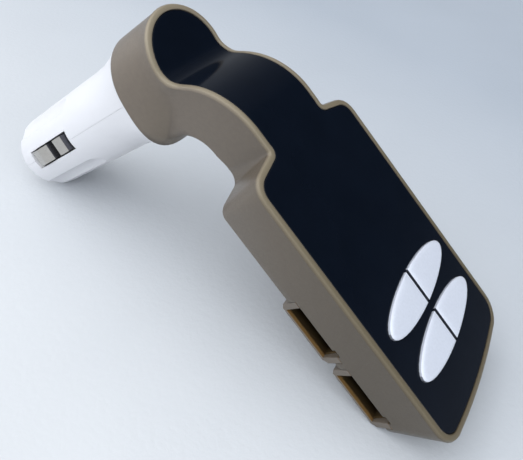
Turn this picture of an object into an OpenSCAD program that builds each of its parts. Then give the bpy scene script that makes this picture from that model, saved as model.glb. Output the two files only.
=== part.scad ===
// Car FM transmitter: an arched housing that carries the face panel, four keys,
// a display and two USB sockets, and a 12 V plug that drops from its round head.
// Everything is drawn in the body's own frame, with +X along the flat face towards its
// bottom end, +Y across and +Z out of the face, and then stood up as it rests on a table.

/* [Face] */
// Length of the flat face, from the end of the arch to the panel's bottom edge
face_len = 69.8; // [68:0.1:76]
// Width of the dark panel over the flat face
panel_w = 37.6; // [36.5:0.1:42]
// Thickness of the dark panel
panel_t = 1.2; // [1:0.1:1.5]
// Radius of the panel's two bottom corners
corner_r = 4.3; // [3.6:0.1:7]
// Crown of the panel's bottom edge
end_bow = 0.9; // [0.2:0.1:1.5]

/* [Arch and neck] */
// Radius of the arch, on the face
arch_r = 18.3; // [17:0.1:20]
// Turn of the arch, in degrees
arch_turn = 56.6; // [54:0.1:59]
// Straight run between the arch and the valley
neck_straight = 1.7; // [0.5:0.1:3]
// Radius of the valley between the arch and the head, on the face
valley_r = 5.2; // [4.8:0.1:6.5]
// Turn of the valley, in degrees
valley_turn = 67.9; // [66:0.1:70]
// Half width of the panel at the waist, beside the head
waist_half = 8.5; // [8:0.1:9]
// Half width of the panel at the shoulder
neck_half = 9.8; // [9.4:0.1:10.5]
// How far the neck's sides swell between waist and shoulder
neck_swell = 1.5; // [0:0.1:2]
// Where the shoulder starts, along the flat face
shoulder_at = 3.65; // [3:0.05:5]
// Radius of the shoulder's inner corner, by the neck
shoulder_in_r = 2.2; // [1.8:0.1:3]
// Radius of the shoulder's outer corner
shoulder_out_r = 3.2; // [3:0.1:4]
// Angle that the shoulder turns through, in degrees
shoulder_turn = 76; // [70:1:82]

/* [Head] */
// Radius of the panel's round end
disc_r = 9.65; // [9:0.05:10.5]
// How far the centre of the round end lies in from the valley's end
disc_lead = 0.3; // [0:0.05:1]
// Depth of the head, from its face to the plug's collar
head_depth = 13.2; // [12:0.1:15]
// Half length of the head's oval back
collar_long = 13.2; // [12.8:0.1:14]
// Half width of the head's oval back
collar_wide = 12; // [11.8:0.1:13]
// How far the oval's centre lies towards the body
collar_shift = 3.2; // [2.8:0.1:4]

/* [Housing] */
// Width of the housing's rim round the panel
rim_w = 1.5; // [1.3:0.05:2]
// Height of the rim's crown over the panel
rim_h = 0.16; // [0.05:0.01:0.4]
// Width of the ledge under the panel's edge
ledge_w = 0.6; // [0.4:0.05:1]
// Depth of the body, from its face to its back
body_depth = 14.7; // [14:0.1:17]
// Draft of the side walls, in degrees
draft = 8.8; // [6:0.1:9.5]
// Radius of the housing's back edge
back_r = 1; // [0.6:0.1:1.4]
// Thickness of the neck's floor and of the head's wall
skin_t = 1.7; // [1.4:0.1:2.2]
// Radius of the hollow under the neck
under_r = 8; // [6:0.1:9]

/* [Keys] */
// Distance of the upper pair of keys' centre from the panel's bottom edge
key_upper_up = 23.7; // [23:0.1:25]
// Distance of the lower pair of keys' centre from the panel's bottom edge
key_lower_up = 13.2; // [12:0.1:13.8]
// Half length of an oval, across the face
key_long = 15.5; // [13:0.1:16]
// Half width of an oval, along the face
key_wide = 4.1; // [3.6:0.1:4.3]
// How far the ovals' split lies off the middle
key_shift = 0.5; // [0:0.1:0.8]
// Gap between the two keys of an oval
key_split = 0.9; // [0.7:0.1:1.4]
// Height of a key over the face
key_rise = 0.85; // [0.6:0.05:1.2]
// Gap round a key in the panel
key_gap = 0.15; // [0.1:0.01:0.25]
// Travel of a key
key_travel = 0.3; // [0.2:0.05:0.35]

/* [Main board] */
// Thickness of the main board
board_t = 1.2; // [1:0.1:1.6]
// Half width of the main board
board_half = 15.8; // [15.5:0.1:16]
// Distance of the board's upper edge from the arch's end
board_from = 12.8; // [12.6:0.1:13.2]
// Distance of the board's lower edge from the panel's bottom edge
board_short = 3.8; // [3.6:0.1:4.8]
// Half width of the display
display_half = 10.4; // [9:0.1:10.6]
// Gap between the display and the panel
display_gap = 1.5; // [0.3:0.1:3]
// Side of a key switch
switch_side = 6; // [5:0.1:6.2]
// Height of a key switch's body
switch_h = 3.5; // [3:0.1:4]
// Radius of a key switch's plunger
plunger_r = 1.75; // [1.5:0.05:2]

/* [USB sockets] */
// Distance of the upper socket's middle from the panel's bottom edge
usb_upper_up = 30.5; // [30.3:0.05:31.2]
// Distance of the lower socket's middle from the panel's bottom edge
usb_lower_up = 12.75; // [12.2:0.05:13]
// Width of the mouth for a plug
usb_mouth_w = 12.9; // [12.4:0.1:13]
// Height of the mouth for a plug
usb_mouth_h = 4.7; // [4.6:0.05:5]
// How far the mouth reaches out past the body's back
usb_out = 1.7; // [1.5:0.05:2]
// Gap between the main board and the sockets under it
usb_lift = 0.225; // [0.1:0.025:0.4]
// Width of a socket's metal shell
usb_shell_w = 13.1; // [12.8:0.1:13.1]
// Height of a socket's metal shell
usb_shell_h = 5.7; // [5.6:0.1:5.8]
// Length of a socket's metal shell
usb_shell_len = 14; // [12:0.1:14.4]
// Sheet thickness of the shell
usb_sheet = 0.3; // [0.2:0.05:0.4]

/* [Card slot and audio jack] */
// Width of the memory card's slot
card_w = 11.4; // [11.2:0.1:12]
// Height of the memory card's slot
card_h = 1.2; // [0.9:0.1:1.3]
// Distance of the card slot's middle from the arch's end
card_x = 31; // [28:0.5:34]
// Radius of the audio jack's bore
jack_bore_r = 1.8; // [1.75:0.01:1.85]
// Depth of the audio jack's bore
jack_depth = 13.5; // [12:0.1:14]

/* [Plug] */
// Lean of the plug against the head's axis, in degrees
plug_lean = 3.6; // [3:0.1:4.2]
// Radius of the plug's barrel
barrel_r = 10.5; // [10.3:0.05:10.6]
// Wall of the barrel
barrel_wall = 1.5; // [1.3:0.1:1.7]
// Taper of the barrel's radius, past its straight stretch
barrel_taper = 0.1; // [0.05:0.05:0.2]
// Length of the barrel's straight stretch
barrel_run = 12.5; // [10:0.1:12.6]
// Length of the flare from the collar to the barrel
flare_len = 14; // [12:0.5:18]
// Length of the plug, from the collar to its nose
plug_len = 56; // [55.5:0.1:60]
// Radius of the nose's round edge
nose_r = 3.2; // [2.8:0.1:3.6]
// Radius of the tip contact's shank
tip_r = 3.4; // [3:0.1:3.6]
// How far the tip contact stands out of the nose
tip_out = 3; // [2.5:0.1:3.2]
// Travel of the tip contact
tip_travel = 2.4; // [1.5:0.1:2.6]
// Distance of the side contacts' windows from the nose
window_up = 7.6; // [7.2:0.1:8.4]
// Length of a side contact's window
window_len = 20.4; // [19:0.1:20.6]
// Width of a side contact's window
window_w = 5.2; // [4.8:0.1:5.6]
// How far a side contact stands proud of the barrel
contact_out = 0.75; // [0.5:0.05:1]
// Travel of a side contact
contact_travel = 0.9; // [0.6:0.1:1]

/* [Hidden] */

// Gap between pieces that are only laid together
seat_gap = 0.1;
// Overrun of a cut
cut = 2;

// Places along the face, worked out from the panel's bottom edge
key_upper_x = face_len - key_upper_up;
key_lower_x = face_len - key_lower_up;
board_to = face_len - board_short;
usb_upper_x = face_len - usb_upper_up;
usb_lower_x = face_len - usb_lower_up;

// Angles and small helpers
function clamp01(q) = max(0, min(1, q));
function arc_deg(length, r) = length/r*180/PI;
function smooth_max(a, b, blend) = (a + b + sqrt(pow(a - b, 2) + pow(blend, 2)))/2;
function unit2(v) = v/norm(v);

// Run of the face from the head to the bottom end, measured along the surface.
// s is zero where the arch ends and grows towards the bottom end.
arch_s = -arch_r*arch_turn*PI/180;
strait_s = arch_s - neck_straight;
valley_s = strait_s - valley_r*valley_turn*PI/180;
disc_s = valley_s + disc_lead;
head_tilt = valley_turn - arch_turn;

function heading(s) =
    s >= 0 ? 0 :
    s >= arch_s ? arc_deg(-s, arch_r) :
    s >= strait_s ? arch_turn :
    s >= valley_s ? arch_turn - arc_deg(strait_s - s, valley_r) : -head_tilt;
function up(h) = [-sin(h), cos(h)];
function on_arch(h) = arch_r*(up(h) - [0, 1]);
arch_end = on_arch(arch_turn);
arch_dir = [-cos(arch_turn), -sin(arch_turn)];
valley_centre = arch_end + arch_dir*neck_straight + valley_r*up(arch_turn);
function on_valley(h) = valley_centre - valley_r*up(h);
function on_head(run) = on_valley(-head_tilt) + run*[-cos(head_tilt), sin(head_tilt)];
function face_at(s) =
    s >= 0 ? [s, 0] :
    s >= arch_s ? on_arch(heading(s)) :
    s >= strait_s ? arch_end + arch_dir*(arch_s - s) :
    s >= valley_s ? on_valley(heading(s)) : on_head(valley_s - s);
function over(s, k) = face_at(s) + k*up(heading(s));

// Half of the panel's outline, laid flat as [s, y], from the head's tip to the bottom end
head_steps = 12;
neck_step = 1;
turn_steps = 5;
side_steps = 3;
corner_steps = 7;
end_steps = 4;
// Length over which the round end's edge eases into the neck
waist_ease = 3;
// Size of the blend at the waist
waist_blend = 1.4;
function disc_half(s) = sqrt(max(0, pow(disc_r, 2) - pow(s - disc_s, 2)));
function neck_q(s) = max(-0.3, min(1, (s - valley_s)/(shoulder_at - valley_s)));
function neck_line(s) = let (q = neck_q(s))
    waist_half + (neck_half - waist_half)*q + neck_swell*q*(1 - q);
function neck_edge(s) =
    smooth_max(disc_half(s), neck_line(s), waist_blend*clamp01((s - disc_s)/waist_ease));
neck_len = shoulder_at - disc_s;
neck_steps = floor(neck_len/neck_step);
half_w = panel_w/2;
// The shoulder's straight run between its two corners
shoulder_run = (half_w - neck_half - (shoulder_in_r + shoulder_out_r)*(1 - cos(shoulder_turn)))
    /sin(shoulder_turn);
in_end = [shoulder_at, neck_half] + shoulder_in_r*[sin(shoulder_turn), 1 - cos(shoulder_turn)];
out_start = in_end + shoulder_run*[cos(shoulder_turn), sin(shoulder_turn)];
out_end_s = out_start[0] + shoulder_out_r*sin(shoulder_turn);
corner_s = face_len - end_bow - corner_r;
head_edge = [for (i = [0:head_steps - 1]) let (a = 90*i/head_steps)
    [disc_s - disc_r*cos(a), disc_r*sin(a)]];
neck_side = [for (i = [0:neck_steps - 1]) let (s = disc_s + neck_len*i/neck_steps)
    [s, neck_edge(s)]];
shoulder_in = [for (i = [0:turn_steps]) let (a = shoulder_turn*i/turn_steps)
    [shoulder_at + shoulder_in_r*sin(a), neck_half + shoulder_in_r*(1 - cos(a))]];
shoulder_out = [for (i = [0:turn_steps - 1]) let (a = shoulder_turn*(1 - i/turn_steps))
    [out_end_s - shoulder_out_r*sin(a), half_w - shoulder_out_r*(1 - cos(a))]];
side_edge = [for (i = [0:side_steps - 1]) let (q = i/side_steps)
    [out_end_s + (corner_s - out_end_s)*q, half_w]];
corner_edge = [for (i = [0:corner_steps]) let (a = 90*i/corner_steps)
    [corner_s + corner_r*sin(a), half_w - corner_r*(1 - cos(a))]];
end_edge = [for (i = [1:end_steps]) let (q = 1 - i/end_steps)
    [face_len - end_bow*q*q, (half_w - corner_r)*q]];
half_outline = concat(head_edge, neck_side, shoulder_in, shoulder_out, side_edge, corner_edge,
    end_edge);
half_n = len(half_outline);

// Outward direction of the outline at each of its points
function outward(i) =
    i == 0 ? [-1, 0] :
    i == half_n - 1 ? [1, 0] :
    let (d = unit2(half_outline[i + 1] - half_outline[i - 1])) [-d[1], d[0]];
outwards = [for (i = [0:half_n - 1]) outward(i)];
function edge_point(i, off) = half_outline[i] + off*outwards[i];

// A closed ring of points: the half at +Y, and then its mirror image back again
function whole(half) = concat(half,
    [for (i = [len(half) - 2:-1:1]) [half[i][0], -half[i][1], half[i][2]]]);
// A ring that follows the face, offset outwards by off and raised by k
function face_ring(off, k) = whole([for (i = [0:half_n - 1])
    let (e = edge_point(i, off), p = over(e[0], k)) [p[0], e[1], p[1]]]);
// A ring at one level under the face, drawn in by the draft and by inset
function level_half(off, z, inset, last) = [for (i = [0:last])
    let (top = face_at(half_outline[i][0])[1],
        e = edge_point(i, off - (top - z)*tan(draft) - inset))
    [face_at(e[0])[0], e[1], z]];
function level_ring(off, z, inset = 0) = whole(level_half(off, z, inset, half_n - 1));

// The same ring, kept under the panel where the face dips
function hollow_ring(off, z) = let (r = level_ring(off, z), f = face_ring(off, 0))
    [for (i = [0:len(r) - 1]) [r[i][0], r[i][1], min(z, f[i][2] - 2*panel_t)]];

// A closed solid through a stack of rings, the highest first
module stack(rings) {
    n = len(rings[0]);
    m = len(rings);
    sides = [for (j = [0:m - 2]) for (i = [0:n - 1]) let (k = (i + 1) % n)
        [j*n + i, (j + 1)*n + i, (j + 1)*n + k, j*n + k]];
    tris = [for (f = sides) each [[f[0], f[1], f[2]], [f[0], f[2], f[3]]]];
    function pair(i) = (n - i) % n;
    function cap(base, flip) = [for (i = [0:n/2 - 1])
        let (q = [base + i, base + i + 1, base + pair(i + 1), base + pair(i)])
        each (flip ? [if (i > 0) [q[0], q[2], q[3]], if (i < n/2 - 1) [q[0], q[1], q[2]]]
            : [if (i > 0) [q[3], q[2], q[0]], if (i < n/2 - 1) [q[2], q[1], q[0]]])];
    top_cap = cap(0, true);
    bottom_cap = cap((m - 1)*n, false);
    polyhedron(points = [for (r = rings) each r], faces = concat(tris, top_cap, bottom_cap));
}

// A closed solid through a stack of flat rings, the highest first
module loft(rings) {
    n = len(rings[0]);
    m = len(rings);
    sides = [for (j = [0:m - 2]) for (i = [0:n - 1]) let (k = (i + 1) % n)
        each [[j*n + i, (j + 1)*n + i, (j + 1)*n + k], [j*n + i, (j + 1)*n + k, j*n + k]]];
    top = [for (i = [0:n - 1]) i];
    bottom = [for (i = [n - 1:-1:0]) (m - 1)*n + i];
    polyhedron(points = [for (r = rings) each r], faces = concat(sides, [top], [bottom]));
}

// An outline in X and Z, drawn across the part
module across(wide) rotate([90, 0, 0]) linear_extrude(wide, center = true) children();
// An outline in Y and Z, drawn along the part
module along(length) rotate([90, 0, 90]) linear_extrude(length, center = true) children();
// A block given by its two corners
module block(low, high) translate(low) cube(high - low);

// Head: its round end and the oval that the plug's collar meets
head_c = face_at(disc_s);
rim_r = disc_r + rim_w;
oval_steps = 32;
head_levels = 4;
// Exponents of the oval's two ends, the one by the body being squarer
outer_power = 2.2;
inner_power = 3;
// How far the head's wall starts inside the rim
head_lap = 0.1;
// Level where the head's wall leaves the rim
head_top = 0.6;
module at_head() translate([head_c[0], 0, head_c[1]]) rotate([0, head_tilt, 0]) children();
function oval_r(a) = let (p = cos(a) > 0 ? inner_power : outer_power)
    pow(pow(abs(cos(a))/collar_long, p) + pow(abs(sin(a))/collar_wide, p), -1/p);
function head_ring(q, z, inset) = whole([for (i = [0:oval_steps])
    let (a = 180*(1 - i/oval_steps), r = (rim_r - head_lap)*(1 - q) + oval_r(a)*q - inset)
    [r*cos(a) + collar_shift*q, r*sin(a), z]]);
// Solid of the head, drawn in by inset all round
module head_form(top, bottom, inset) at_head()
    loft([for (i = [0:head_levels]) let (z = top + (bottom - top)*i/head_levels)
        head_ring(z/head_depth, -z, inset)]);

// Under the neck a quarter round runs from the body's back into the head's wall. The neck's
// side walls go on down to it.
under_q_share = 0.6;
under_wall = head_c + (rim_r*(1 - under_q_share) + (collar_long + collar_shift)*under_q_share)
    *[cos(head_tilt), -sin(head_tilt)] - head_depth*under_q_share*[sin(head_tilt), cos(head_tilt)];
under_c = [under_wall[0] + under_r, -body_depth - under_r];
// Where the neck's lower edge runs out on the head's wall, in from the oval's tip
toe_in = 2.2;
toe_up = 0.6;
toe_back = 9;
// Length over which the neck's square lower edge fades into the body's round one
under_blend = 4;
toe = head_c + (collar_long + collar_shift - toe_in)*[cos(head_tilt), -sin(head_tilt)]
    - (head_depth - toe_up)*[sin(head_tilt), cos(head_tilt)];
function neck_ring(z, inset) =
    let (half = level_half(rim_w, z, inset, head_steps + neck_steps))
    whole(concat(half, [[half[len(half) - 1][0], 0, z]]));
module under_form(inset, fade = 0) intersection() {
    stack([neck_ring(-body_depth + (inset > 0 ? skin_t + cut : back_r), inset),
        neck_ring(toe[1] - cut, inset)]);
    across(panel_w) difference() {
        polygon([[toe[0] - toe_back, -body_depth + skin_t + cut],
            [under_c[0] + fade, -body_depth + skin_t + cut],
            [under_c[0] + fade, -body_depth + back_r], [under_c[0], -body_depth], under_c,
            [under_c[0] - under_r - inset, under_c[1]], [toe[0] - inset, toe[1]],
            [toe[0] - toe_back, toe[1]]]);
        translate(under_c) circle(under_r + inset, $fn = 96);
    }
}

// Outside of the body and neck, with the rim's crown and the round back edge
// Level, under the face, where the rim's crown runs into the side wall
rim_edge = 0.55;
module trunk_form() stack([
    face_ring(rim_w*0.15, rim_h*0.5), face_ring(rim_w*0.45, rim_h), face_ring(rim_w*0.8, 0),
    face_ring(rim_w, -rim_edge), level_ring(rim_w, -body_depth + back_r),
    level_ring(rim_w, -body_depth + 0.3*back_r, 0.3*back_r),
    level_ring(rim_w, -body_depth, back_r)]);
// Recess that the panel lies in
module panel_seat() stack([face_ring(seat_gap, cut), face_ring(seat_gap, -panel_t - seat_gap)]);
// Hollow of the body and neck
module trunk_hollow() stack([face_ring(-ledge_w, cut), face_ring(-ledge_w, -panel_t),
    hollow_ring(-ledge_w, -body_depth + skin_t)]);
// Opening in the back that the cover closes, drawn in by gap
cover_from = out_end_s + shoulder_out_r;
module cover_form(gap, low, high) intersection() {
    stack([level_ring(-ledge_w - gap, high), level_ring(-ledge_w - gap, low)]);
    block([cover_from + gap, -panel_w, low - cut], [face_len + rim_w, panel_w, high + cut]);
}

// Levels of the sockets' mouths and of the main board over them
usb_bottom = body_depth + usb_out;
usb_top = usb_bottom - usb_mouth_h;
usb_mid = (usb_top + usb_bottom)/2 - 0.25*usb_sheet;
board_z = usb_mid - usb_shell_h/2 - usb_lift - board_t;

// Posts that carry the main board and take the cover's screws
post_r = 2.3;
pilot_r = 1;
post_web = 1.2;
post_top = panel_t + 2*seat_gap;
post_in = [3.4, 2.6];
low_post_in = [1.4, 6.4];
post_spots = [for (y = [1, -1]*(board_half - post_in[1])) [board_from + post_in[0], y],
    for (y = [1, -1]*(board_half - low_post_in[1])) [board_to - low_post_in[0], y]];
screw_spots = [post_spots[0], post_spots[1], post_spots[2]];
screw_shank_r = 0.95;
screw_head_r = 1.9;
screw_head_h = 0.9;
screw_bite = 4;

// Side wall's outer face at a depth under the face
function wall_y(depth) = half_w + rim_w - depth*tan(draft);

// USB sockets: the housing holds each mouth's front edge and the cover its other three
lip_w = 1.5;
lip_t = 0.7;
pod_t = 0.8;
pod_half = usb_mouth_w/2 + lip_w;
pod_back = usb_mid + usb_shell_h/2 + pod_t + seat_gap;
usb_front_y = wall_y(usb_bottom) - lip_t;
usb_spots = [usb_upper_x, usb_lower_x];
pod_ramp = 2.5;
pod_run = usb_shell_len + 1;
catch_w = 1.9;
catch_h = 0.8;

// Card slot in the far wall
card_drop = 0.25;
card_z = board_z + board_t + card_drop;
card_sheet = 0.25;
card_len = 14.5;

// Level of a key's flange under the face, and the flange's thickness and overhang
flange_gap = 0.05;
flange_z = panel_t + flange_gap;
flange_t = 0.8;
flange_w = 0.7;

// Audio jack in the end wall. It takes this share of half the space under the keys.
jack_share = 0.784;
jack_half = jack_share*(board_z - flange_z - flange_t)/2;
jack_z = board_z - jack_half;
// How far the jack's collar lies in from the wall's outside, and its body in from the inside
jack_in = 0.3;
jack_shy = 1.2;
jack_end = face_len + rim_w - jack_z*tan(draft) - jack_in;
jack_body_end = face_len - ledge_w - jack_z*tan(draft) - jack_shy;

module post(p, bore) translate([p[0], p[1], 0]) {
    wall = half_w - ledge_w;
    if (!bore) {
        translate([0, 0, -board_z]) cylinder(r = post_r, h = board_z - post_top, $fn = 48);
        side = p[1] > 0 ? 1 : -1;
        block([-post_web/2, min(0, side*(wall - abs(p[1]))), -board_z],
            [post_web/2, max(0, side*(wall - abs(p[1]))), -post_top]);
    }
    if (bore) translate([0, 0, -board_z - cut])
        cylinder(r = pilot_r, h = screw_bite + cut, $fn = 32);
}

module housing() stand() color([0.62, 0.55, 0.48]) {
    difference() {
        union() {
            trunk_form();
            head_form(head_top, head_depth, 0);
            under_form(0, under_blend);
        }
        panel_seat();
        trunk_hollow();
        head_form(panel_t + seat_gap, head_depth + cut, skin_t);
        under_form(skin_t);
        cover_form(0, -body_depth - cut, -body_depth + skin_t + cut);
        for (x = usb_spots) {
            block([x - pod_half - seat_gap, -half_w - cut, -body_depth - cut],
                [x + pod_half + seat_gap, -half_w/2, -usb_top]);
            block([x - usb_shell_w/2 - seat_gap, shell_front - seat_gap, -usb_top - cut],
                [x + usb_shell_w/2 + seat_gap, 0, -shell_low + usb_shell_h + seat_gap]);
            block([x + usb_mouth_w/2 - catch_w, -half_w - cut, -usb_top - cut],
                [x + usb_mouth_w/2, -half_w/2, -usb_top + catch_h]);
        }
        block([card_x - card_w/2, half_w/2, -card_z - card_h - card_sheet],
            [card_x + card_w/2, half_w + cut, -card_z - card_sheet]);
        translate([jack_body_end, 0, -jack_z]) rotate([0, 90, 0])
            cylinder(r = jack_collar_r + seat_gap, h = face_len, $fn = 64);
    }
    intersection() {
        difference() {
            for (p = post_spots) post(p, false);
            for (p = screw_spots) post(p, true);
        }
        stack([face_ring(-ledge_w/2, cut), face_ring(-ledge_w/2, -panel_t),
            level_ring(-ledge_w/2, -body_depth + skin_t)]);
    }
}

// Half an oval as a ring at one level. side is 1 for the far half and -1 for the near one.
key_steps = 18;
function key_ring(x, side, z, inset) = let (
        a = key_long - inset, b = key_wide - inset, low = key_split/2 + inset, t0 = asin(low/a))
    [for (i = [0:key_steps]) let (t = t0 + (180 - 2*t0)*(side > 0 ? key_steps - i : i)/key_steps)
        [x + b*cos(t), key_shift + side*a*sin(t), z]];
// Shares of a key's rise and of its half width that give its soft dome
dome_shares = [[1, 0.35], [0.9, 0.17], [0.74, 0.06], [0.5, 0]];
stem_r = 1.6;
stem_y = key_long*0.44;
plunger_rise = 0.5;
stem_end = board_z - switch_h - plunger_rise;
plunger_in = 0.7;
module key(x, side) stand() color([0.86, 0.88, 0.92]) {
    loft(concat([for (d = dome_shares) key_ring(x, side, key_rise*d[0], key_wide*d[1])],
        [key_ring(x, side, -flange_z - flange_t/2, 0)]));
    translate([x, key_shift, -flange_z - flange_t]) linear_extrude(flange_t)
        intersection() {
            polygon([for (i = [0:key_steps]) let (t = 180*i/key_steps)
                [(key_wide + flange_w)*cos(t), side*(key_long + flange_w)*sin(t)]]);
            translate([-key_wide - flange_w, side > 0 ? key_split/2 : -key_long - flange_w])
                square([2*(key_wide + flange_w), key_long + flange_w - key_split/2]);
        }
    translate([x, key_shift + side*stem_y, -stem_end])
        cylinder(r = stem_r, h = stem_end - flange_z - flange_t/2, $fn = 40);
}
module key_hole(x, side) let (r = key_ring(x, side, 0, -key_gap))
    translate([0, 0, -panel_t - cut]) linear_extrude(2*cut + panel_t)
        polygon([for (p = r) [p[0], p[1]]]);
module plunger(x, side) stand() color([0.15, 0.15, 0.16])
    translate([x, key_shift + side*stem_y, -stem_end - plunger_rise - plunger_in])
        cylinder(r = plunger_r, h = plunger_rise + plunger_in, $fn = 40);
module switch(x, side) stand() color([0.25, 0.25, 0.27])
    translate([x, key_shift + side*stem_y, -board_z]) difference() {
        block([-switch_side/2, -switch_side/2, 0], [switch_side/2, switch_side/2, switch_h]);
        translate([0, 0, switch_h - plunger_in - key_travel - seat_gap])
            cylinder(r = plunger_r + seat_gap, h = switch_h, $fn = 40);
    }

// Chamfer of the panel's edge
panel_edge = 0.15;
module front_panel() stand() color([0.05, 0.06, 0.1]) difference() {
    stack([face_ring(-panel_edge, 0), face_ring(0, -panel_edge), face_ring(0, -panel_t)]);
    for (x = [key_upper_x, key_lower_x]) for (side = [-1, 1]) key_hole(x, side);
}

// Board with the screws' holes
module main_board() stand() color([0.1, 0.35, 0.2]) difference() {
    block([board_from, -board_half, -board_z - board_t], [board_to, board_half, -board_z]);
    for (p = screw_spots) translate([p[0], p[1], -board_z - board_t - cut])
        cylinder(r = screw_shank_r + seat_gap, h = board_t + 2*cut, $fn = 32);
}
display_from = 18.2;
display_len = key_upper_x - key_wide - flange_w - seat_gap - display_from;
display_h = board_z - panel_t - display_gap;
digit_count = 4;
module display() stand() color([0.75, 0.75, 0.72])
    translate([display_from, 0, -board_z]) difference() {
        block([0, -display_half, 0], [display_len, display_half, display_h]);
        for (i = [0:digit_count - 1]) let (w = 2*display_half/digit_count)
            block([display_len*0.2, -display_half + w*(i + 0.12), display_h - flange_t],
                [display_len*0.8, -display_half + w*(i + 0.88), display_h + cut]);
    }
module chip(x, y, side, h) stand() color([0.12, 0.12, 0.13])
    block([x - side/2, y - side/2, -board_z - board_t - h],
        [x + side/2, y + side/2, -board_z - board_t]);
radio_side = 7;
radio_h = 1;
control_side = 9;
control_h = 1.2;
radio_x = (board_from + usb_upper_x - usb_shell_w/2)/2;
control_x = (card_x + card_w/2 + post_spots[2][0] - post_r)/2;
module radio_chip() chip(radio_x, -board_half*0.35, radio_side, radio_h);
module control_chip() chip(control_x, board_half*0.5, control_side, control_h);
module card_socket() stand() color([0.72, 0.72, 0.72])
    translate([card_x, 0, -board_z - board_t]) difference() {
        block([-card_w/2 - card_sheet - seat_gap, board_half - card_len,
            -card_h - 2*card_sheet - (card_z - board_z - board_t)],
            [card_w/2 + card_sheet + seat_gap, board_half, 0]);
        block([-card_w/2, board_half - card_len + lip_w,
            -card_h - card_sheet - (card_z - board_z - board_t)],
            [card_w/2, board_half + cut, -card_sheet - (card_z - board_z - board_t)]);
    }
// The jack lies between the lower pair of switches
jack_side = 0.32;
jack_wide = stem_y - key_shift - switch_side/2 - jack_side;
jack_collar_r = jack_wide - seat_gap;
module audio_jack() stand() color([0.1, 0.1, 0.11]) difference() {
    union() {
        block([jack_end - jack_depth - lip_w, -jack_wide, -board_z],
            [jack_body_end, jack_wide, -jack_z + jack_half]);
        translate([board_to + seat_gap, 0, -jack_z]) rotate([0, 90, 0])
            cylinder(r = jack_collar_r, h = jack_end - board_to - seat_gap, $fn = 64);
    }
    translate([jack_end - jack_depth, 0, -jack_z]) rotate([0, 90, 0])
        cylinder(r = jack_bore_r, h = jack_depth + cut, $fn = 64);
}

// USB socket: a folded shell, the tongue in it and the contacts under the tongue
shell_low = usb_mid + usb_shell_h/2;
// How far a socket's shell lies in from its mouth's lip
shell_in = 0.3;
shell_front = -wall_y(usb_bottom) + lip_t + shell_in;
tongue_t = 1.8;
tongue_over = 0.75;
tongue_side = 0.65;
tongue_top = usb_mid - usb_shell_h/2 + usb_sheet + tongue_over;
tongue_w = usb_shell_w - 2*usb_sheet - 2*tongue_side;
tongue_back = 2;
module usb_shell(x) stand() color([0.78, 0.78, 0.8]) difference() {
    block([x - usb_shell_w/2, shell_front, -shell_low],
        [x + usb_shell_w/2, shell_front + usb_shell_len, -shell_low + usb_shell_h]);
    block([x - usb_shell_w/2 + usb_sheet, shell_front - cut, -shell_low + usb_sheet],
        [x + usb_shell_w/2 - usb_sheet, shell_front + usb_shell_len - usb_sheet,
            -shell_low + usb_shell_h - usb_sheet]);
}
module usb_tongue(x) stand() color([0.15, 0.15, 0.16]) {
    block([x - tongue_w/2, shell_front + lip_w, -tongue_top - tongue_t],
        [x + tongue_w/2, shell_front + usb_shell_len - usb_sheet - tongue_back, -tongue_top]);
    block([x - usb_shell_w/2 + usb_sheet, shell_front + usb_shell_len - usb_sheet - tongue_back,
        -shell_low + usb_sheet], [x + usb_shell_w/2 - usb_sheet,
        shell_front + usb_shell_len - usb_sheet, -shell_low + usb_shell_h - usb_sheet]);
}
pin_count = 4;
pin_w = 1;
pin_t = 0.15;
module usb_contacts(x) stand() color([0.85, 0.7, 0.35])
    for (i = [0:pin_count - 1]) let (px = x + (i - (pin_count - 1)/2)*tongue_w/pin_count)
        block([px - pin_w/2, shell_front + 2*lip_w, -tongue_top - tongue_t - pin_t],
            [px + pin_w/2, shell_front + usb_shell_len - usb_sheet - tongue_back,
                -tongue_top - tongue_t]);

// Back cover with a raised pod over each USB socket
pod_chamfer = 1.6;
// Gap between a pod and the housing's notch over it
pod_gap = 0.15;
module pod(x) translate([x, 0, 0]) difference() {
    intersection() {
        across(2*panel_w) polygon([[-pod_half, 0], [-pod_half, -pod_back + pod_chamfer],
            [-pod_half + pod_chamfer, -pod_back], [pod_half - pod_chamfer, -pod_back],
            [pod_half, -pod_back + pod_chamfer], [pod_half, 0]]);
        along(3*pod_half) polygon([
            [-wall_y(usb_top + pod_gap), -usb_top - pod_gap],
            [-wall_y(usb_bottom + lip_t), -usb_bottom - lip_t],
            [-wall_y(usb_bottom + lip_t) + pod_ramp, -pod_back],
            [shell_front + pod_run, -pod_back],
            [shell_front + pod_run + pod_ramp, -body_depth],
            [shell_front + pod_run + pod_ramp, -body_depth + skin_t],
            [shell_front, -body_depth + skin_t],
            [shell_front, -usb_top - pod_gap]]);
    }
    block([-usb_mouth_w/2, -half_w - cut, -usb_bottom], [usb_mouth_w/2, shell_front + lip_w, 0]);
    block([-usb_shell_w/2 - seat_gap, shell_front - seat_gap, -shell_low - seat_gap],
        [usb_shell_w/2 + seat_gap, shell_front + usb_shell_len + seat_gap, 0]);
    block([-pod_half - cut, shell_front + lip_w, -body_depth + skin_t],
        [pod_half + cut, shell_front + pod_run + pod_ramp + cut, 0]);
}
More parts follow.
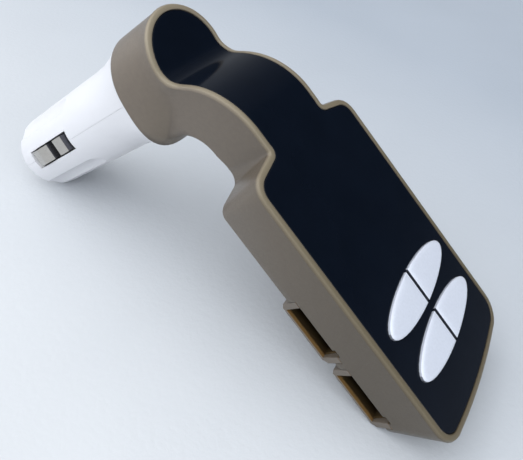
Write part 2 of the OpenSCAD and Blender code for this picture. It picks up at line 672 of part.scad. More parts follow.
module back_cover() stand() color([0.6, 0.53, 0.46]) difference() {
    union() {
        difference() {
            cover_form(seat_gap, -body_depth, -body_depth + skin_t);
            for (x = usb_spots)
                block([x - pod_half, -half_w, -body_depth - cut],
                    [x + pod_half, shell_front + pod_run, 0]);
        }
        for (x = usb_spots) pod(x);
        for (p = screw_spots) translate([p[0], p[1], -body_depth + skin_t/2])
            cylinder(r = post_r, h = body_depth - skin_t/2 - board_z - board_t, $fn = 48);
    }
    for (p = screw_spots) translate([p[0], p[1], -body_depth - cut]) {
        cylinder(r = screw_shank_r + seat_gap, h = body_depth, $fn = 32);
        cylinder(r = screw_head_r + seat_gap, h = cut + screw_head_h + seat_gap, $fn = 48);
    }
}
module cover_screws() stand() color([0.3, 0.3, 0.32])
    for (p = screw_spots) translate([p[0], p[1], -body_depth + seat_gap]) {
        difference() {
            cylinder(r = screw_head_r, h = screw_head_h, $fn = 48);
            for (a = [0, 90]) rotate([0, 0, a]) translate([0, 0, -cut])
                linear_extrude(cut + screw_head_h/2)
                    square([screw_head_r*1.3, screw_head_r*0.3], center = true);
        }
        translate([0, 0, 0.7*screw_head_h]) cylinder(r = screw_shank_r,
            h = body_depth - board_z + screw_bite*0.8 - 0.7*screw_head_h, $fn = 32);
    }

// Plug, drawn with its axis along -Z from the middle of the head's oval back
module at_plug() at_head() translate([collar_shift, 0, -head_depth]) rotate([0, -plug_lean, 0])
    children();
bore_r = barrel_r - barrel_wall;
nose_wall = 2.5;
nose_in = 3.8;
nose_bore_r = 6.5;
spigot_r = 9.5;
spigot_h = 3;
flare_steps = 6;
// The flare ends this much proud of the barrel, and tucks into it
flare_lap = 0.04;
flare_tuck = 0.5;
function flare_ring(u) = let (w = pow(1 - u/flare_len, 2), l = plug_lean*(1 - u/flare_len))
    whole([for (i = [0:oval_steps]) let (a = 180*(1 - i/oval_steps),
        r = barrel_r + flare_lap + (oval_r(a) - barrel_r - flare_lap)*w)
        [r*cos(a)*cos(l), r*sin(a), -r*cos(a)*sin(l) - u]]);
flare_end = whole([for (i = [0:oval_steps]) let (a = 180*(1 - i/oval_steps))
    [(barrel_r - flare_tuck)*cos(a), (barrel_r - flare_tuck)*sin(a), -flare_len - flare_tuck]]);
nose_steps = 8;
nose_end_r = barrel_r - barrel_taper;
module plug_form() {
    loft(concat([for (i = [0:flare_steps]) flare_ring(flare_len*i/flare_steps)], [flare_end]));
    rotate_extrude($fn = 128) polygon(concat([[0, -flare_len], [0, -plug_len]],
        [for (i = [0:nose_steps]) let (a = 90*i/nose_steps)
            [nose_end_r - nose_r + nose_r*sin(a), -plug_len + nose_r - nose_r*cos(a)]],
        [[barrel_r, -flare_len - barrel_run], [barrel_r, -flare_len]]));
    translate([0, 0, -cut]) cylinder(r = spigot_r, h = cut + spigot_h, $fn = 96);
}
// Four flutes run out over the nose. Each lies this far round from a window's middle.
flute_turn = 53;
flute_r = 5;
flute_deep = 0.95;
// Places along the plug, worked out from its nose
window_from = plug_len - window_up - window_len;
flute_len = 26.5;
flute_to = plug_len + cut;
flute_from = plug_len - flute_len;
// Shelf that the tip's spring pushes on
shelf_up = 13;
shelf_u = plug_len - shelf_up;
shelf_t = 1.6;
shelf_half = 5.6;
module plug_hollow() {
    translate([0, 0, -plug_len + nose_in]) cylinder(r = bore_r, h = plug_len + spigot_h, $fn = 96);
    translate([0, 0, -plug_len + nose_wall]) cylinder(r = nose_bore_r, h = nose_in, $fn = 96);
    translate([0, 0, -plug_len - cut]) cylinder(r = tip_r + seat_gap, h = plug_len, $fn = 64);
}
module plug_shell() {
    difference() {
        plug_form();
        difference() {
            plug_hollow();
            intersection() {
                translate([0, 0, -shelf_u - shelf_t]) cylinder(r = bore_r + seat_gap, h = shelf_t, $fn = 96);
                block([-barrel_r, -shelf_half, -plug_len], [barrel_r, shelf_half, 0]);
            }
        }
        for (side = [-1, 1]) {
            block([-window_w/2, min(side*barrel_r*1.2, side*bore_r/2), -window_from - window_len],
                [window_w/2, max(side*barrel_r*1.2, side*bore_r/2), -window_from]);
            for (a = [-flute_turn, flute_turn]) rotate([0, 0, side*90 + a])
                translate([barrel_r + flute_r - flute_deep, 0, -flute_to])
                    rotate_extrude($fn = 48) polygon(concat([[0, 0], [flute_r, 0]],
                        [for (i = [0:6]) let (a = 90*i/6)
                            [flute_r*cos(a), flute_to - flute_from + flute_r*sin(a)]]));
        }
    }
}
module plug_half(side) stand() color([0.94, 0.94, 0.95]) at_plug() intersection() {
    plug_shell();
    block([side > 0 ? 0 : -2*barrel_r, -2*barrel_r, -plug_len - cut],
        [side > 0 ? 2*barrel_r : 0, 2*barrel_r, spigot_h + cut]);
}

// A bent strip through a list of [u, r] points, drawn flat
strip_t = 0.4;
module strip(points) for (i = [0:len(points) - 2]) let (d = points[i + 1] - points[i])
    translate(points[i]) rotate(atan2(d[1], d[0])) {
        translate([0, -strip_t/2]) square([norm(d), strip_t]);
        circle(d = strip_t, $fn = 16);
        translate([norm(d), 0]) circle(d = strip_t, $fn = 16);
    }
strip_gap = 0.4;
strip_w = window_w - 2*strip_gap;
// Places along the window, as shares of its length, and heights over the bore
strip_u_shares = [-0.07, 0.11, 0.15, 0.36, 0.39, 0.49, 0.53, 0.72, 0.92, 0.96, 1.07];
// Depth of the strip's fold under the bore
fold_deep = 1.9;
strip_low = sqrt(pow(bore_r, 2) - pow(strip_w/2, 2)) - strip_t/2 - seat_gap;
strip_dip = bore_r - fold_deep;
strip_top = barrel_r + contact_out - strip_t/2;
strip_side = barrel_r - strip_t/2 - seat_gap;
strip_rs = [strip_low, strip_low, strip_side, strip_side, strip_dip, strip_dip, strip_side,
    strip_top, strip_side, strip_low, strip_low];
module side_contact(side) stand() color([0.72, 0.7, 0.66]) at_plug()
    rotate([0, 0, side > 0 ? 0 : 180]) rotate([90, 0, 90]) linear_extrude(strip_w, center = true)
        strip([for (i = [0:len(strip_rs) - 1])
            [strip_rs[i], -window_from - window_len*strip_u_shares[i]]]);

tip_flange_r = 5;
tip_flange_t = 1.3;
tip_top = plug_len - nose_wall - seat_gap - tip_flange_t;
module tip_contact() stand() color([0.75, 0.73, 0.68]) at_plug() {
    translate([0, 0, -tip_top - tip_flange_t]) cylinder(r = tip_flange_r, h = tip_flange_t, $fn = 64);
    rotate_extrude($fn = 64) polygon([[0, -tip_top - tip_flange_t/2],
        [tip_r, -tip_top - tip_flange_t/2], [tip_r, -plug_len - tip_out*0.5],
        [tip_r*0.8, -plug_len - tip_out*0.85], [tip_r*0.45, -plug_len - tip_out],
        [0, -plug_len - tip_out]]);
}

// A round tube along a list of points, its ends square to the first and last runs
function tangent(p, i) = let (d = p[min(i + 1, len(p) - 1)] - p[max(i - 1, 0)]) d/norm(d);
module tube(p, r, sides, side_dir) {
    n = len(p);
    points = [for (i = [0:n - 1]) let (t = tangent(p, i), a = cross(t, side_dir),
        e1 = a/norm(a), e2 = cross(e1, t)) for (k = [0:sides - 1])
        p[i] + r*(cos(360*k/sides)*e1 + sin(360*k/sides)*e2)];
    walls = [for (i = [0:n - 2]) for (k = [0:sides - 1]) let (m = (k + 1) % sides)
        each [[i*sides + k, (i + 1)*sides + k, (i + 1)*sides + m],
            [i*sides + k, (i + 1)*sides + m, i*sides + m]]];
    first = [for (k = [0:sides - 1]) k];
    last = [for (k = [sides - 1:-1:0]) (n - 1)*sides + k];
    polyhedron(points = points, faces = concat(walls, [first], [last]));
}
spring_wire_r = 0.4;
spring_r = 3.9;
spring_turns = 5;
spring_ring_count = 16;
spring_top = shelf_u + shelf_t + spring_wire_r + seat_gap;
spring_low = tip_top - spring_wire_r - seat_gap;
module tip_spring() stand() color([0.6, 0.6, 0.62]) at_plug()
    tube([for (i = [0:spring_turns*spring_ring_count]) let (q = i/(spring_turns*spring_ring_count))
        [spring_r*cos(360*spring_turns*q), spring_r*sin(360*spring_turns*q),
            -spring_top - (spring_low - spring_top)*q]], spring_wire_r, 6, [0, 0, 1]);

power_from = 3;
power_gap = 0.25;
power_half = bore_r - power_gap;
power_t = 1.2;
module power_board() stand() color([0.1, 0.35, 0.2]) at_plug()
    block([-power_half, -power_t/2, -shelf_u], [power_half, power_t/2, -power_from]);
coil_r = 4.2;
coil_core_r = 2.8;
coil_flange = 0.9;
coil_h = 4.3;
can_r = 3.15;
can_h = 5;
// Middle of the coil and of the can along the plug
coil_u = 14;
module inductor() stand() color([0.2, 0.2, 0.22]) at_plug()
    translate([0, power_t/2, -coil_u]) rotate([-90, 0, 0]) {
        cylinder(r = coil_r, h = coil_flange, $fn = 48);
        cylinder(r = coil_core_r, h = coil_h - coil_flange/2, $fn = 48);
        translate([0, 0, coil_h - coil_flange]) cylinder(r = coil_r, h = coil_flange, $fn = 48);
    }
module capacitor() stand() color([0.3, 0.35, 0.45]) at_plug()
    translate([0, -power_t/2, -coil_u]) rotate([90, 0, 0])
        cylinder(r = can_r, h = can_h, $fn = 48);

// Wires from the power board, through the neck, to the main board's upper edge
wire_r = 0.55;
wire_y = 1.8;
wire_start = 0.35;
// Points of the wires' run, in shares of the arch's radius along the part, and over the level
// of the body's back
wire_shares = [[-1, -6.8], [-0.85, -3.7], [-0.656, -1.5], [-0.437, 0.3], [-0.219, 2.1], [0, 3.4],
    [0.219, 4.1], [0.437, 4.4]];
wire_spots = [for (w = wire_shares) [w[0]*arch_r, w[1] - body_depth]];
wire_out = 1.2;
module wire(side, paint) stand() color(paint) {
    base = head_c + collar_shift*[cos(head_tilt), -sin(head_tilt)]
        - head_depth*[sin(head_tilt), cos(head_tilt)];
    down = [-sin(head_tilt - plug_lean), -cos(head_tilt - plug_lean)];
    start = base + power_from*down;
    end = [board_from, -board_z - board_t/2];
    y = side*wire_y;
    tube(concat([[start[0], y*wire_start, start[1]]], [[start[0] - wire_out*down[0],
        y*wire_start, start[1] - wire_out*down[1]]], [for (p = wire_spots) [p[0], y, p[1]]],
        [[end[0] - wire_out, y, end[1]], [end[0], y, end[1]]]), wire_r, 8, [0, 1, 0]);
}

// Standing pose: the part rests on the plug's nose and on the body's lower back edge,
// which gives the body its tilt and the ground its level
plug_tilt = head_tilt - plug_lean;
plug_base = head_c + collar_shift*[cos(head_tilt), -sin(head_tilt)]
    - head_depth*[sin(head_tilt), cos(head_tilt)];
nose_mid = plug_base + (plug_len - nose_r)*[-sin(plug_tilt), -cos(plug_tilt)];
nose_foot = nose_mid + (nose_end_r - nose_r)*[cos(plug_tilt), -sin(plug_tilt)];
heel_z = -body_depth + 0.3*back_r;
heel = [face_len + rim_w + heel_z*tan(draft) - 0.3*back_r, heel_z];
foot_run = nose_foot - heel;
stand_tilt = 180 + atan2(foot_run[1], foot_run[0]) + asin(nose_r/norm(foot_run));
stand_x = [cos(stand_tilt), sin(stand_tilt)];
ground = heel*[sin(stand_tilt), -cos(stand_tilt)];
right_end = [face_len + 0.8*rim_w, 0]*stand_x;
left_end = (nose_mid - (nose_end_r - nose_r)*[cos(plug_tilt), -sin(plug_tilt)])*stand_x - nose_r;
module stand() translate([-(right_end + left_end)/2, 0, ground]) rotate([0, stand_tilt, 0])
    children();

module key_upper_near() key(key_upper_x, -1);
module key_upper_far() key(key_upper_x, 1);
module key_lower_near() key(key_lower_x, -1);
module key_lower_far() key(key_lower_x, 1);
module plunger_upper_near() plunger(key_upper_x, -1);
module plunger_upper_far() plunger(key_upper_x, 1);
module plunger_lower_near() plunger(key_lower_x, -1);
module plunger_lower_far() plunger(key_lower_x, 1);
module switch_upper_near() switch(key_upper_x, -1);
module switch_upper_far() switch(key_upper_x, 1);
module switch_lower_near() switch(key_lower_x, -1);
module switch_lower_far() switch(key_lower_x, 1);
module usb_shell_upper() usb_shell(usb_upper_x);
module usb_shell_lower() usb_shell(usb_lower_x);
module usb_tongue_upper() usb_tongue(usb_upper_x);
module usb_tongue_lower() usb_tongue(usb_lower_x);
module usb_contacts_upper() usb_contacts(usb_upper_x);
module usb_contacts_lower() usb_contacts(usb_lower_x);
module plug_half_front() plug_half(-1);
module plug_half_rear() plug_half(1);
module side_contact_near() side_contact(-1);
module side_contact_far() side_contact(1);
module power_wire() wire(1, [0.7, 0.1, 0.1]);
module ground_wire() wire(-1, [0.1, 0.1, 0.1]);

housing();
front_panel();
back_cover();
cover_screws();
key_upper_near();
key_upper_far();
key_lower_near();
key_lower_far();
plunger_upper_near();
plunger_upper_far();
plunger_lower_near();
plunger_lower_far();
switch_upper_near();
switch_upper_far();
switch_lower_near();
switch_lower_far();
main_board();
display();
radio_chip();
control_chip();
card_socket();
audio_jack();
usb_shell_upper();
usb_shell_lower();
usb_tongue_upper();
usb_tongue_lower();
usb_contacts_upper();
usb_contacts_lower();
plug_half_front();
plug_half_rear();
side_contact_near();
side_contact_far();
tip_contact();
tip_spring();
power_board();
inductor();
capacitor();
power_wire();
ground_wire();
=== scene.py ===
import bpy
import math
from mathutils import Matrix, Vector


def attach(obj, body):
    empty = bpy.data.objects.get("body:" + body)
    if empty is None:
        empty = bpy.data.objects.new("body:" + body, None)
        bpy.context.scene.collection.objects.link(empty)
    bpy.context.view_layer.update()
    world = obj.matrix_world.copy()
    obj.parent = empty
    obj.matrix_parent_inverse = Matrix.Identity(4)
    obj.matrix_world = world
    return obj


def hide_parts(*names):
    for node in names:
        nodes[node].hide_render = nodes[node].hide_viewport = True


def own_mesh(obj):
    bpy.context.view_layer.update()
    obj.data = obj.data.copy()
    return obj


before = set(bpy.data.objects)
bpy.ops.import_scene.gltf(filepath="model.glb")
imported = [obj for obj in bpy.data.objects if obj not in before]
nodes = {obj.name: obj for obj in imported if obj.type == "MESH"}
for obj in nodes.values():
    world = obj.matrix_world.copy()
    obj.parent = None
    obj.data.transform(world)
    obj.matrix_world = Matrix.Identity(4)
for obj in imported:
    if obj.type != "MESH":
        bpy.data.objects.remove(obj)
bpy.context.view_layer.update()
MM = 0.001

# Directions in the row frame
FACE = (0.6076, 0, 0.7942)  # out of the panel, on the straight body
CONTACT_SHADE_FACING = (0.707, 0, 0.707)  # the way that a side contact's faces with painted shade look


# ---------------------------------------------------------------- node helpers
def graph(mat):
    return mat.node_tree.nodes, mat.node_tree.links


def new_material(name):
    mat = bpy.data.materials.new(name)
    mat.use_nodes = True
    ns, ls = graph(mat)
    return mat, ns, ls, ns["Principled BSDF"], ns.new("ShaderNodeTexCoord")


def noise(ns, ls, coord, scale, detail=4.0, stretch=None):
    tex = ns.new("ShaderNodeTexNoise")
    tex.inputs["Scale"].default_value = scale
    tex.inputs["Detail"].default_value = detail
    tex.inputs["Roughness"].default_value = 0.55
    source = coord.outputs["Object"]
    if stretch:
        mapping = ns.new("ShaderNodeMapping")
        mapping.inputs["Scale"].default_value = stretch
        ls.new(source, mapping.inputs["Vector"])
        source = mapping.outputs["Vector"]
    ls.new(source, tex.inputs["Vector"])
    return tex.outputs["Fac"]


def ramp(ns, ls, source, stops):
    node = ns.new("ShaderNodeValToRGB")
    el = node.color_ramp.elements
    el[0].position, el[0].color = stops[0][0], (*stops[0][1], 1)
    el[1].position, el[1].color = stops[-1][0], (*stops[-1][1], 1)
    for pos, col in stops[1:-1]:
        el.new(pos).color = (*col, 1)
    ls.new(source, node.inputs["Fac"])
    return node.outputs["Color"]


def map_range(ns, ls, source, start, end, low=0.0, high=1.0, kind="LINEAR"):
    node = ns.new("ShaderNodeMapRange")
    node.interpolation_type = kind
    node.inputs["From Min"].default_value = start
    node.inputs["From Max"].default_value = end
    node.inputs["To Min"].default_value = low
    node.inputs["To Max"].default_value = high
    ls.new(source, node.inputs["Value"])
    return node.outputs["Result"]


def band(ns, ls, source, start, end, low=0.0, high=1.0):
    return map_range(ns, ls, source, start, end, low, high, "SMOOTHSTEP")


def math_node(ns, ls, operation, a, b=None):
    """b is another socket, a number, or left out."""
    node = ns.new("ShaderNodeMath")
    node.operation = operation
    ls.new(a, node.inputs[0])
    if isinstance(b, float):
        node.inputs[1].default_value = b
    elif b is not None:
        ls.new(b, node.inputs[1])
    return node.outputs["Value"]


def axis_of(ns, ls, source):
    node = ns.new("ShaderNodeSeparateXYZ")
    ls.new(source, node.inputs[0])
    return node.outputs


def along(ns, ls, source, direction):
    node = ns.new("ShaderNodeVectorMath")
    node.operation = "DOT_PRODUCT"
    node.inputs[1].default_value = direction
    ls.new(source, node.inputs[0])
    return node.outputs["Value"]


def bevel(ns, samples, radius):
    node = ns.new("ShaderNodeBevel")
    node.samples = samples
    node.inputs["Radius"].default_value = radius
    return node.outputs["Normal"]


def relief(ns, ls, bsdf, height, strength, distance):
    node = ns.new("ShaderNodeBump")
    node.inputs["Strength"].default_value = strength
    node.inputs["Distance"].default_value = distance
    ls.new(height, node.inputs["Height"])
    ls.new(node.outputs["Normal"], bsdf.inputs["Normal"])
    return node


# ---------------------------------------------------------------- materials
# Noise stays mostly between these two values, so ramps are set there
NOISE_LOW, NOISE_MIDDLE, NOISE_HIGH = 0.3, 0.5, 0.7


def surface(name, color, rough, metallic=0.0, coat=0.0, coat_rough=0.05, vary=0.06,
            color_scale=180.0, bump=0.15, bump_scale=2500.0, bump_mm=0.01,
            round_mm=0.0, rough_vary=0.15, stretch=None, specular=0.5):
    """A material whose colour, roughness and fine relief vary by vary, rough_vary and bump."""
    mat, ns, ls, bsdf, coord = new_material(name)
    tone = noise(ns, ls, coord, color_scale, stretch=stretch)
    dark, light = ([min(1.0, c * k) for c in color] for k in (1 - vary, 1 + vary))
    colors = ramp(ns, ls, tone, [(NOISE_LOW, dark), (NOISE_MIDDLE, color), (NOISE_HIGH, light)])
    ls.new(colors, bsdf.inputs["Base Color"])
    wear = noise(ns, ls, coord, color_scale * 3, stretch=stretch)
    ls.new(map_range(ns, ls, wear, NOISE_LOW, NOISE_HIGH, rough * (1 - rough_vary),
                     rough * (1 + rough_vary)), bsdf.inputs["Roughness"])
    bsdf.inputs["Metallic"].default_value = metallic
    bsdf.inputs["Specular IOR Level"].default_value = specular
    bsdf.inputs["Coat Weight"].default_value = coat
    bsdf.inputs["Coat Roughness"].default_value = coat_rough
    grain = noise(ns, ls, coord, bump_scale, detail=2.0, stretch=stretch)
    node = relief(ns, ls, bsdf, grain, bump, bump_mm * MM)
    if round_mm:
        ls.new(bevel(ns, 6, round_mm * MM), node.inputs["Normal"])
    return mat


def tint(mat, factor, color, blend="MIX"):
    """Mix a second colour over a material's own, by a factor socket."""
    ns, ls = graph(mat)
    target = ns["Principled BSDF"].inputs["Base Color"]
    node = ns.new("ShaderNodeMix")
    node.data_type = "RGBA"
    node.blend_type = blend
    ls.new(factor, node.inputs["Factor"])
    ls.new(target.links[0].from_socket, node.inputs["A"])
    node.inputs["B"].default_value = (*color, 1)
    ls.new(node.outputs["Result"], target)


def facing(ns, ls, direction, start, end, soft_mm=0.0):
    """0 to 1 as a face turns towards a direction. soft_mm rounds the change at an edge."""
    if soft_mm:
        normal = bevel(ns, 8, soft_mm * MM)
    else:
        normal = ns.new("ShaderNodeNewGeometry").outputs["True Normal"]
    return band(ns, ls, along(ns, ls, normal, direction), start, end)


# Casing, panel, keys and plug
shell = surface("shell_paint", (0.152, 0.122, 0.093), 0.42, metallic=0.12, coat=0.12,
                coat_rough=0.28, vary=0.05, color_scale=900, bump=0.25, bump_scale=5200,
                bump_mm=0.012, round_mm=0.45)
cover = surface("cover_plastic", (0.142, 0.117, 0.091), 0.46, metallic=0.1, coat=0.1,
                coat_rough=0.3, vary=0.05, color_scale=900, bump=0.25, bump_scale=5200,
                bump_mm=0.012, round_mm=0.2)
panel = surface("panel_gloss", (0.0036, 0.0058, 0.0110), 0.17, coat=0.04, specular=0.11,
                vary=0.1, color_scale=120, bump=0.03, bump_scale=900, round_mm=0.2)
key_mat = surface("key_pearl", (0.71, 0.74, 0.82), 0.33, metallic=0.08, coat=0.25,
                  coat_rough=0.12, vary=0.03, color_scale=1800, bump=0.2, bump_scale=6500,
                  round_mm=0.2)
white = surface("plug_white", (0.745, 0.74, 0.76), 0.34, coat=0.15, coat_rough=0.15,
                vary=0.01, color_scale=90, bump=0.04, bump_scale=1400, bump_mm=0.005,
                round_mm=0.35, rough_vary=0.05)

# Metals
nickel = surface("nickel", (0.60, 0.57, 0.52), 0.22, metallic=1.0, color_scale=700,
                 bump=0.2, bump_scale=2600, bump_mm=0.008, round_mm=0.12)
contact_mat = surface("contact_nickel", (0.49, 0.465, 0.43), 0.24, metallic=1.0, vary=0.05,
                      color_scale=700, bump_scale=2600, bump_mm=0.006, round_mm=0.08)
socket_steel = surface("socket_steel", (0.24, 0.165, 0.08), 0.38, metallic=0.85, vary=0.08,
                       color_scale=500, bump=0.25, bump_scale=3000, stretch=(1, 6, 1),
                       round_mm=0.1)
spring_steel = surface("spring_steel", (0.50, 0.49, 0.48), 0.28, metallic=1.0, vary=0.08,
                       color_scale=900, bump=0.25, bump_scale=3200)
dark_steel = surface("dark_steel", (0.10, 0.10, 0.105), 0.34, metallic=1.0, vary=0.12,
                     color_scale=900, bump=0.25, bump_scale=3200, round_mm=0.1)
gilt = surface("gilt", (0.83, 0.60, 0.24), 0.2, metallic=1.0, vary=0.05, color_scale=900,
               bump_scale=3000)

# Boards and what is on them
black_plastic = surface("black_plastic", (0.020, 0.020, 0.022), 0.5, vary=0.2,
                        color_scale=600, bump=0.3, bump_scale=4200, bump_mm=0.015,
                        round_mm=0.1)
switch_case = surface("switch_case", (0.05, 0.05, 0.055), 0.48, vary=0.15, color_scale=600,
                      bump=0.25, bump_scale=3600, round_mm=0.1)
board = surface("board_mask", (0.012, 0.10, 0.035), 0.34, coat=0.4, coat_rough=0.2,
                vary=0.35, color_scale=420, bump=0.4, bump_scale=900, bump_mm=0.03)
display_mat = surface("display_module", (0.13, 0.13, 0.125), 0.38, vary=0.12,
                      color_scale=500, bump=0.2, bump_scale=2600, round_mm=0.1)
chip_mat = surface("chip_epoxy", (0.022, 0.022, 0.024), 0.55, vary=0.15, color_scale=1500,
                   bump=0.3, bump_scale=5200)
ferrite = surface("ferrite", (0.035, 0.035, 0.038), 0.62, vary=0.2, color_scale=900,
                  bump=0.4, bump_scale=3600, bump_mm=0.03)
sleeve = surface("sleeve", (0.018, 0.030, 0.065), 0.28, coat=0.4, vary=0.1,
                 color_scale=700, bump=0.1, bump_scale=2600)
red_wire = surface("red_wire", (0.42, 0.020, 0.014), 0.4, vary=0.08, color_scale=800,
                   bump=0.2, bump_scale=2600)
black_wire = surface("black_wire", (0.014, 0.014, 0.014), 0.4, vary=0.15, color_scale=800,
                     bump=0.2, bump_scale=2600)

# The wall flows from the head into the neck with no crease: near this place the
# edges are rounded wide. Lengths here are in metres.
NECK_X = -0.0112
NECK_NEAR = (0.0030, 0.0065)
NECK_TOP = (0.0500, 0.0530)
NECK_SIDE = (0.0060, 0.0075)
NECK_ROUND = 0.0035
ns, ls = graph(shell)
sx, sy, sz = axis_of(ns, ls, ns.new("ShaderNodeTexCoord").outputs["Object"])
from_neck = math_node(ns, ls, "ABSOLUTE", math_node(ns, ls, "ADD", sx, -NECK_X))
from_middle = math_node(ns, ls, "ABSOLUTE", sy)
mask = math_node(ns, ls, "MULTIPLY", band(ns, ls, from_neck, *NECK_NEAR, 1.0, 0.0),
                 band(ns, ls, sz, *NECK_TOP, 1.0, 0.0))
mask = math_node(ns, ls, "MULTIPLY", mask, band(ns, ls, from_middle, *NECK_SIDE))
rounding = [n for n in ns if n.bl_idname == "ShaderNodeBump"][0].inputs["Normal"]
blend = ns.new("ShaderNodeMix")
blend.data_type = "VECTOR"
ls.new(mask, blend.inputs["Factor"])
ls.new(rounding.links[0].from_socket, blend.inputs["A"])
ls.new(bevel(ns, 8, NECK_ROUND), blend.inputs["B"])
ls.new(blend.outputs["Result"], rounding)

# Painted light on the wall: the raised rim's top faces are painted lighter as a painted
# highlight where light from above catches them, and the wall is painted darker towards the
# lower end as painted shade.
RIM_PAINTED_HIGHLIGHT = (0.280, 0.232, 0.160)
# Painted shade: the wall is painted darker towards the lower end, where the light falls off.
LOW_END_SHADE_SPAN = (-0.020, 0.056)
LOW_END_PAINTED_SHADE = (0.49, 0.465, 0.385)
tint(shell, facing(ns, ls, FACE, 0.02, 0.80, soft_mm=1.3), RIM_PAINTED_HIGHLIGHT)
tint(shell, band(ns, ls, sx, *LOW_END_SHADE_SPAN), LOW_END_PAINTED_SHADE, "MULTIPLY")

# Bare amber plastic inside the sockets' mouths
AMBER = (0.240, 0.135, 0.045)
ns, ls = graph(cover)
tint(cover, facing(ns, ls, FACE, 0.80, 0.95), AMBER)

# A socket's shell is painted darker further in: painted shade inside the socket's recess.
SOCKET_SHADE_DEPTH = (-0.0168, -0.0145)
SOCKET_PAINTED_SHADE = (0.30, 0.28, 0.22)
ns, ls = graph(socket_steel)
depth = axis_of(ns, ls, ns.new("ShaderNodeTexCoord").outputs["Object"])[1]
tint(socket_steel, band(ns, ls, depth, *SOCKET_SHADE_DEPTH), SOCKET_PAINTED_SHADE, "MULTIPLY")

# The cut faces between two keys are painted dark: painted shade in the gap between the keys.
KEY_GAP_PAINTED_SHADE = (0.05, 0.055, 0.07)
ns, ls = graph(key_mat)
sideways = axis_of(ns, ls, ns.new("ShaderNodeNewGeometry").outputs["True Normal"])[1]
tint(key_mat, band(ns, ls, math_node(ns, ls, "ABSOLUTE", sideways), 0.90, 0.98), KEY_GAP_PAINTED_SHADE)

# The bent contact's steep faces are painted dark: painted shade on its steep faces.
CONTACT_PAINTED_SHADE = (0.052, 0.052, 0.060)
ns, ls = graph(contact_mat)
tint(contact_mat, facing(ns, ls, CONTACT_SHADE_FACING, 0.30, 0.75), CONTACT_PAINTED_SHADE)

PAINT = {
    "housing": shell, "back_cover": cover, "front_panel": panel, "cover_screws": dark_steel,
    "main_board": board, "power_board": board, "display": display_mat,
    "radio_chip": chip_mat, "control_chip": chip_mat, "card_socket": socket_steel,
    "side_contact_near": contact_mat, "side_contact_far": contact_mat,
    "audio_jack": black_plastic, "tip_contact": nickel, "tip_spring": spring_steel,
    "inductor": ferrite, "capacitor": sleeve, "power_wire": red_wire,
    "ground_wire": black_wire,
}
PAINT_BY_START = {
    "key_": key_mat, "plunger_": black_plastic, "usb_tongue_": black_plastic,
    "switch_": switch_case, "usb_shell_": socket_steel, "usb_contacts_": gilt,
    "plug_half_": white,
}
for start, mat in PAINT_BY_START.items():
    PAINT.update({name: mat for name in nodes if name.startswith(start)})

# Faces that meet at less than this angle shade as one smooth face
SMOOTH_UNDER = math.radians(32.0)
WELD_WITHIN = 2e-6
for name, obj in nodes.items():
    obj.data.materials.clear()
    obj.data.materials.append(PAINT[name])
    for poly in obj.data.polygons:
        poly.use_smooth = True
    weld = obj.modifiers.new("weld", "WELD")
    weld.merge_threshold = WELD_WITHIN
    split = obj.modifiers.new("split", "EDGE_SPLIT")
    split.split_angle = SMOOTH_UNDER
    split.use_edge_sharp = False

# ---------------------------------------------------------------- the nose's spring
# The tip slides into the plug and the spring behind it shortens; a copy of the CAD solid, with
# a mesh of its own, stands for it on the body, and the CAD spring is hidden
spring = nodes["tip_spring"].copy()
spring.data = nodes["tip_spring"].data.copy()
spring.name = "tip_spring_coil"
bpy.context.scene.collection.objects.link(spring)
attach(spring, "body")
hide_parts("tip_spring")
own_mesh(spring)

# ---------------------------------------------------------------- floor
FLOOR_SIZE = 6.0
PAPER = [(NOISE_LOW, (0.655, 0.664, 0.676)), (NOISE_HIGH, (0.705, 0.712, 0.722))]
# The paper is painted cooler and darker towards both ends of this direction: painted shade
# where the light falls off across the backdrop.
PAPER_SHADE_ACROSS = (0.24, 0.97, 0)
PAPER_SHADE_FROM, PAPER_SHADE_TO = -0.45, 0.16
PAPER_PAINTED_SHADE = [(0.0, (0.72, 0.735, 0.75)), (0.45, (0.97, 0.975, 0.975)),
              (0.60, (0.97, 0.975, 0.975)), (1.0, (0.585, 0.63, 0.69))]
bpy.ops.mesh.primitive_plane_add(size=FLOOR_SIZE, location=(0, 0, 0))
floor = bpy.context.object
floor.name = "floor"
floor_mat, ns, ls, bsdf, coord = new_material("floor_card")
tone = ramp(ns, ls, noise(ns, ls, coord, 9.0, detail=3.0), PAPER)
shade_across = along(ns, ls, coord.outputs["Object"], PAPER_SHADE_ACROSS)
painted_shade = ramp(ns, ls, map_range(ns, ls, shade_across, PAPER_SHADE_FROM, PAPER_SHADE_TO), PAPER_PAINTED_SHADE)
shaded_paper = ns.new("ShaderNodeVectorMath")
shaded_paper.operation = "MULTIPLY"
ls.new(tone, shaded_paper.inputs[0])
ls.new(painted_shade, shaded_paper.inputs[1])
ls.new(shaded_paper.outputs["Vector"], bsdf.inputs["Base Color"])
bsdf.inputs["Roughness"].default_value = 0.7
bsdf.inputs["Specular IOR Level"].default_value = 0.2
relief(ns, ls, bsdf, noise(ns, ls, coord, 620.0, detail=5.0), 0.5, 0.2 * MM)
floor.data.materials.append(floor_mat)

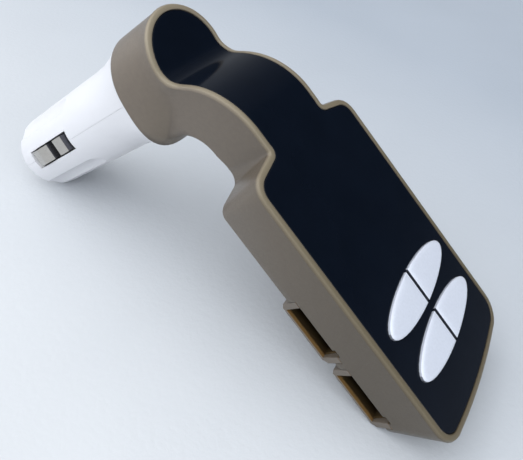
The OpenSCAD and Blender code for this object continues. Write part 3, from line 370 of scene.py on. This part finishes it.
# ---------------------------------------------------------------- world and lamps
# The room is pale, and dim in the direction that the panel mirrors to the camera. Its
# strength changes over two more directions, in front of the object and behind it.
ROOM_DIM = (0.50, 0.70, 0.50)
ROOM_COLORS = [(0.45, (0.82, 0.865, 0.93)), (0.95, (0.012, 0.017, 0.024))]
ROOM_STRENGTHS = [((0.10, -0.93, -0.35), (0.60, 0.92, 1.60, 0.10)),
                  ((-0.57, 0.76, 0.31), (0.45, 0.85, 1.0, 0.30))]
world = bpy.data.worlds.new("studio")
bpy.context.scene.world = world
world.use_nodes = True
wn, wl = graph(world)
sky = wn["Background"]
outward = wn.new("ShaderNodeTexCoord").outputs["Generated"]
wl.new(ramp(wn, wl, along(wn, wl, outward, ROOM_DIM), ROOM_COLORS), sky.inputs["Color"])
front, rear = (map_range(wn, wl, along(wn, wl, outward, direction), *limits)
               for direction, limits in ROOM_STRENGTHS)
wl.new(math_node(wn, wl, "MULTIPLY", front, rear), sky.inputs["Strength"])


def soft_light(name, place, aim, size, power, color):
    data = bpy.data.lights.new(name, "AREA")
    data.energy = power
    data.color = color
    data.size = size
    obj = bpy.data.objects.new(name, data)
    bpy.context.scene.collection.objects.link(obj)
    obj.location = place
    obj.rotation_euler = (Vector(aim) - Vector(place)).to_track_quat("-Z", "Y").to_euler()


soft_light("key", (-0.55, -0.12, 0.46), (0, 0, 0.03), 0.70, 1.42, (1.0, 0.985, 0.96))
soft_light("top", (0.06, -0.02, 0.70), (0.06, -0.02, 0.0), 1.10, 2.8, (0.96, 0.985, 1.0))

# ---------------------------------------------------------------- camera
# Its place, turn, lens and shift were fitted to the photo's straight edges
CAMERA_PLACE = (0.04710104, -0.08613413, 0.11252487)
CAMERA_RIGHT = (0.84410271, 0.52167841, 0.12386384)
CAMERA_FORWARD = (-0.34383187, 0.70390841, -0.62152442)
scene = bpy.context.scene
cam_data = bpy.data.cameras.new("camera")
camera = bpy.data.objects.new("camera", cam_data)
scene.collection.objects.link(camera)
scene.camera = camera
cam_data.sensor_fit = "HORIZONTAL"
cam_data.sensor_width = 36.0
cam_data.lens = 37.79
cam_data.shift_x = 0.0184
cam_data.shift_y = -0.1276
cam_data.clip_start = 0.005
cam_data.clip_end = 20.0
right = Vector(CAMERA_RIGHT).normalized()
forward = Vector(CAMERA_FORWARD).normalized()
up = right.cross(forward).normalized()
turn = Matrix((right, up, -forward)).transposed()
camera.matrix_world = Matrix.Translation(Vector(CAMERA_PLACE)) @ turn.to_4x4()

scene.view_settings.view_transform = "Standard"
